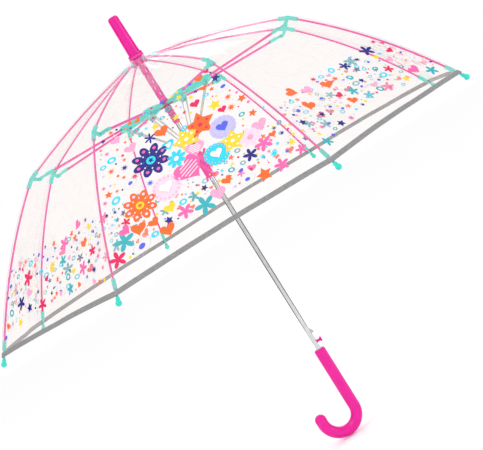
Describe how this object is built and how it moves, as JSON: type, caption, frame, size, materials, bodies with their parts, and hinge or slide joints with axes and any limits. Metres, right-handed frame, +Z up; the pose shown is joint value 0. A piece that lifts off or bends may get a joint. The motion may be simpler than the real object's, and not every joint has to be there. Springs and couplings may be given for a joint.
{
  "type": "dome umbrella",
  "caption": "Clear dome-shaped child's umbrella with sliding runner, folding ribs, sprung release button and a hooked handle.",
  "frame": {"origin": "on the shaft axis at the middle of the straight part of the handle's grip", "axes": "+Z up the shaft towards the ferrule; +X towards the release button; the handle's hook opens towards -X"},
  "size_m": [0.7054, 0.7054, 0.6572],
  "materials": {
    "pink_plastic": "glossy moulded plastic",
    "light_pink_plastic": "glossy moulded plastic",
    "magenta_plastic": "glossy moulded plastic",
    "turquoise_plastic": "glossy moulded plastic",
    "pink_rib": "pink rod and channel",
    "steel_wire": "bright wire",
    "chrome_tube": "plated tube",
    "clear_film": "clear soft film"
  },
  "bodies": {
    "frame": {"ferrule": "pink_plastic", "top_notch": "light_pink_plastic", "notch_ring": "steel_wire", "shaft": "chrome_tube", "handle": "pink_plastic"},
    "release": {"release_button": "pink_plastic", "catch": "steel_wire"},
    "hub": {"spring_sleeve": "pink_plastic", "stretcher_hub": "magenta_plastic", "hub_ring": "steel_wire", "opening_spring": "steel_wire"},
    "runner": {"runner": "pink_plastic"},
    "rib_1": {"rib_1": "pink_rib", "rib_fittings_1": "turquoise_plastic", "canopy_1": "clear_film"},
    "stretcher_1": {"stretcher_1": "pink_rib", "stretcher_arm_1": "turquoise_plastic"},
    "link_1": {"link_1": "steel_wire"},
    "rib_2": {"rib_2": "pink_rib", "rib_fittings_2": "turquoise_plastic", "canopy_2": "clear_film"},
    "stretcher_2": {"stretcher_2": "pink_rib", "stretcher_arm_2": "turquoise_plastic"},
    "link_2": {"link_2": "steel_wire"},
    "rib_3": {"rib_3": "pink_rib", "rib_fittings_3": "turquoise_plastic", "canopy_3": "clear_film"},
    "stretcher_3": {"stretcher_3": "pink_rib", "stretcher_arm_3": "turquoise_plastic"},
    "link_3": {"link_3": "steel_wire"},
    "rib_4": {"rib_4": "pink_rib", "rib_fittings_4": "turquoise_plastic", "canopy_4": "clear_film"},
    "stretcher_4": {"stretcher_4": "pink_rib", "stretcher_arm_4": "turquoise_plastic"},
    "link_4": {"link_4": "steel_wire"},
    "rib_5": {"rib_5": "pink_rib", "rib_fittings_5": "turquoise_plastic", "canopy_5": "clear_film"},
    "stretcher_5": {"stretcher_5": "pink_rib", "stretcher_arm_5": "turquoise_plastic"},
    "link_5": {"link_5": "steel_wire"},
    "rib_6": {"rib_6": "pink_rib", "rib_fittings_6": "turquoise_plastic", "canopy_6": "clear_film"},
    "stretcher_6": {"stretcher_6": "pink_rib", "stretcher_arm_6": "turquoise_plastic"},
    "link_6": {"link_6": "steel_wire"},
    "rib_7": {"rib_7": "pink_rib", "rib_fittings_7": "turquoise_plastic", "canopy_7": "clear_film"},
    "stretcher_7": {"stretcher_7": "pink_rib", "stretcher_arm_7": "turquoise_plastic"},
    "link_7": {"link_7": "steel_wire"},
    "rib_8": {"rib_8": "pink_rib", "rib_fittings_8": "turquoise_plastic", "canopy_8": "clear_film"},
    "stretcher_8": {"stretcher_8": "pink_rib", "stretcher_arm_8": "turquoise_plastic"},
    "link_8": {"link_8": "steel_wire"}
  },
  "joints": [
    {"name": "fold", "type": "slide", "parent": "frame", "child": "runner", "axis": [0, 0, 1], "range_m": [-0.2626, 0], "stiffness_N_per_m": 60, "springref_m": 0.25},
    {"name": "hub_slide", "type": "slide", "parent": "frame", "child": "hub", "axis": [0, 0, 1], "range_m": [-0.3007, 0.0005], "deforming": ["opening_spring"]},
    {"name": "button_press", "type": "slide", "parent": "frame", "child": "release", "axis": [-1, 0, 0], "range_m": [0, 0.0034], "stiffness_N_per_m": 900, "springref_m": -0.002},
    {"name": "rib_1_hinge", "type": "hinge", "parent": "frame", "child": "rib_1", "pos_m": [-0.00802, -0.00282, 0.5], "axis": [0.3322, -0.9432, 0], "range_deg": [-0.05, 48.05], "deforming": ["canopy_1"]},
    {"name": "stretcher_1_hinge", "type": "hinge", "parent": "hub", "child": "stretcher_1", "pos_m": [-0.00802, -0.00282, 0.431], "axis": [0.3322, -0.9432, 0], "range_deg": [-66.5, 0.05]},
    {"name": "link_1_hinge", "type": "hinge", "parent": "runner", "child": "link_1", "pos_m": [-0.00896, -0.00316, 0.3655], "axis": [0.3322, -0.9432, 0], "range_deg": [-24.75, 0.05]},
    {"name": "rib_2_hinge", "type": "hinge", "parent": "frame", "child": "rib_2", "pos_m": [-0.00367, -0.00767, 0.5], "axis": [0.9018, -0.4321, 0], "range_deg": [-0.05, 48.05], "deforming": ["canopy_2"]},
    {"name": "stretcher_2_hinge", "type": "hinge", "parent": "hub", "child": "stretcher_2", "pos_m": [-0.00367, -0.00767, 0.431], "axis": [0.9018, -0.4321, 0], "range_deg": [-66.5, 0.05]},
    {"name": "link_2_hinge", "type": "hinge", "parent": "runner", "child": "link_2", "pos_m": [-0.00411, -0.00857, 0.3655], "axis": [0.9018, -0.4321, 0], "range_deg": [-24.75, 0.05]},
    {"name": "rib_3_hinge", "type": "hinge", "parent": "frame", "child": "rib_3", "pos_m": [0.00282, -0.00802, 0.5], "axis": [0.9432, 0.3322, 0], "range_deg": [-0.05, 48.05], "deforming": ["canopy_3"]},
    {"name": "stretcher_3_hinge", "type": "hinge", "parent": "hub", "child": "stretcher_3", "pos_m": [0.00282, -0.00802, 0.431], "axis": [0.9432, 0.3322, 0], "range_deg": [-66.5, 0.05]},
    {"name": "link_3_hinge", "type": "hinge", "parent": "runner", "child": "link_3", "pos_m": [0.00316, -0.00896, 0.3655], "axis": [0.9432, 0.3322, 0], "range_deg": [-24.75, 0.05]},
    {"name": "rib_4_hinge", "type": "hinge", "parent": "frame", "child": "rib_4", "pos_m": [0.00767, -0.00367, 0.5], "axis": [0.4321, 0.9018, 0], "range_deg": [-0.05, 48.05], "deforming": ["canopy_4"]},
    {"name": "stretcher_4_hinge", "type": "hinge", "parent": "hub", "child": "stretcher_4", "pos_m": [0.00767, -0.00367, 0.431], "axis": [0.4321, 0.9018, 0], "range_deg": [-66.5, 0.05]},
    {"name": "link_4_hinge", "type": "hinge", "parent": "runner", "child": "link_4", "pos_m": [0.00857, -0.00411, 0.3655], "axis": [0.4321, 0.9018, 0], "range_deg": [-24.75, 0.05]},
    {"name": "rib_5_hinge", "type": "hinge", "parent": "frame", "child": "rib_5", "pos_m": [0.00802, 0.00282, 0.5], "axis": [-0.3322, 0.9432, 0], "range_deg": [-0.05, 48.05], "deforming": ["canopy_5"]},
    {"name": "stretcher_5_hinge", "type": "hinge", "parent": "hub", "child": "stretcher_5", "pos_m": [0.00802, 0.00282, 0.431], "axis": [-0.3322, 0.9432, 0], "range_deg": [-66.5, 0.05]},
    {"name": "link_5_hinge", "type": "hinge", "parent": "runner", "child": "link_5", "pos_m": [0.00896, 0.00316, 0.3655], "axis": [-0.3322, 0.9432, 0], "range_deg": [-24.75, 0.05]},
    {"name": "rib_6_hinge", "type": "hinge", "parent": "frame", "child": "rib_6", "pos_m": [0.00367, 0.00767, 0.5], "axis": [-0.9018, 0.4321, 0], "range_deg": [-0.05, 48.05], "deforming": ["canopy_6"]},
    {"name": "stretcher_6_hinge", "type": "hinge", "parent": "hub", "child": "stretcher_6", "pos_m": [0.00367, 0.00767, 0.431], "axis": [-0.9018, 0.4321, 0], "range_deg": [-66.5, 0.05]},
    {"name": "link_6_hinge", "type": "hinge", "parent": "runner", "child": "link_6", "pos_m": [0.00411, 0.00857, 0.3655], "axis": [-0.9018, 0.4321, 0], "range_deg": [-24.75, 0.05]},
    {"name": "rib_7_hinge", "type": "hinge", "parent": "frame", "child": "rib_7", "pos_m": [-0.00282, 0.00802, 0.5], "axis": [-0.9432, -0.3322, 0], "range_deg": [-0.05, 48.05], "deforming": ["canopy_7"]},
    {"name": "stretcher_7_hinge", "type": "hinge", "parent": "hub", "child": "stretcher_7", "pos_m": [-0.00282, 0.00802, 0.431], "axis": [-0.9432, -0.3322, 0], "range_deg": [-66.5, 0.05]},
    {"name": "link_7_hinge", "type": "hinge", "parent": "runner", "child": "link_7", "pos_m": [-0.00316, 0.00896, 0.3655], "axis": [-0.9432, -0.3322, 0], "range_deg": [-24.75, 0.05]},
    {"name": "rib_8_hinge", "type": "hinge", "parent": "frame", "child": "rib_8", "pos_m": [-0.00767, 0.00367, 0.5], "axis": [-0.4321, -0.9018, 0], "range_deg": [-0.05, 48.05], "deforming": ["canopy_8"]},
    {"name": "stretcher_8_hinge", "type": "hinge", "parent": "hub", "child": "stretcher_8", "pos_m": [-0.00767, 0.00367, 0.431], "axis": [-0.4321, -0.9018, 0], "range_deg": [-66.5, 0.05]},
    {"name": "link_8_hinge", "type": "hinge", "parent": "runner", "child": "link_8", "pos_m": [-0.00857, 0.00411, 0.3655], "axis": [-0.4321, -0.9018, 0], "range_deg": [-24.75, 0.05]}
  ],
  "couplings": [
    {"joint": "hub_slide", "follows": "fold", "ratio": 1.1432},
    {"joint": "rib_1_hinge", "follows": "fold", "rad_per_m": -3.1902},
    {"joint": "stretcher_1_hinge", "follows": "fold", "rad_per_m": 4.4166},
    {"joint": "link_1_hinge", "follows": "fold", "rad_per_m": 1.6415},
    {"joint": "rib_2_hinge", "follows": "fold", "rad_per_m": -3.1902},
    {"joint": "stretcher_2_hinge", "follows": "fold", "rad_per_m": 4.4166},
    {"joint": "link_2_hinge", "follows": "fold", "rad_per_m": 1.6415},
    {"joint": "rib_3_hinge", "follows": "fold", "rad_per_m": -3.1902},
    {"joint": "stretcher_3_hinge", "follows": "fold", "rad_per_m": 4.4166},
    {"joint": "link_3_hinge", "follows": "fold", "rad_per_m": 1.6415},
    {"joint": "rib_4_hinge", "follows": "fold", "rad_per_m": -3.1902},
    {"joint": "stretcher_4_hinge", "follows": "fold", "rad_per_m": 4.4166},
    {"joint": "link_4_hinge", "follows": "fold", "rad_per_m": 1.6415},
    {"joint": "rib_5_hinge", "follows": "fold", "rad_per_m": -3.1902},
    {"joint": "stretcher_5_hinge", "follows": "fold", "rad_per_m": 4.4166},
    {"joint": "link_5_hinge", "follows": "fold", "rad_per_m": 1.6415},
    {"joint": "rib_6_hinge", "follows": "fold", "rad_per_m": -3.1902},
    {"joint": "stretcher_6_hinge", "follows": "fold", "rad_per_m": 4.4166},
    {"joint": "link_6_hinge", "follows": "fold", "rad_per_m": 1.6415},
    {"joint": "rib_7_hinge", "follows": "fold", "rad_per_m": -3.1902},
    {"joint": "stretcher_7_hinge", "follows": "fold", "rad_per_m": 4.4166},
    {"joint": "link_7_hinge", "follows": "fold", "rad_per_m": 1.6415},
    {"joint": "rib_8_hinge", "follows": "fold", "rad_per_m": -3.1902},
    {"joint": "stretcher_8_hinge", "follows": "fold", "rad_per_m": 4.4166},
    {"joint": "link_8_hinge", "follows": "fold", "rad_per_m": 1.6415}
  ]
}
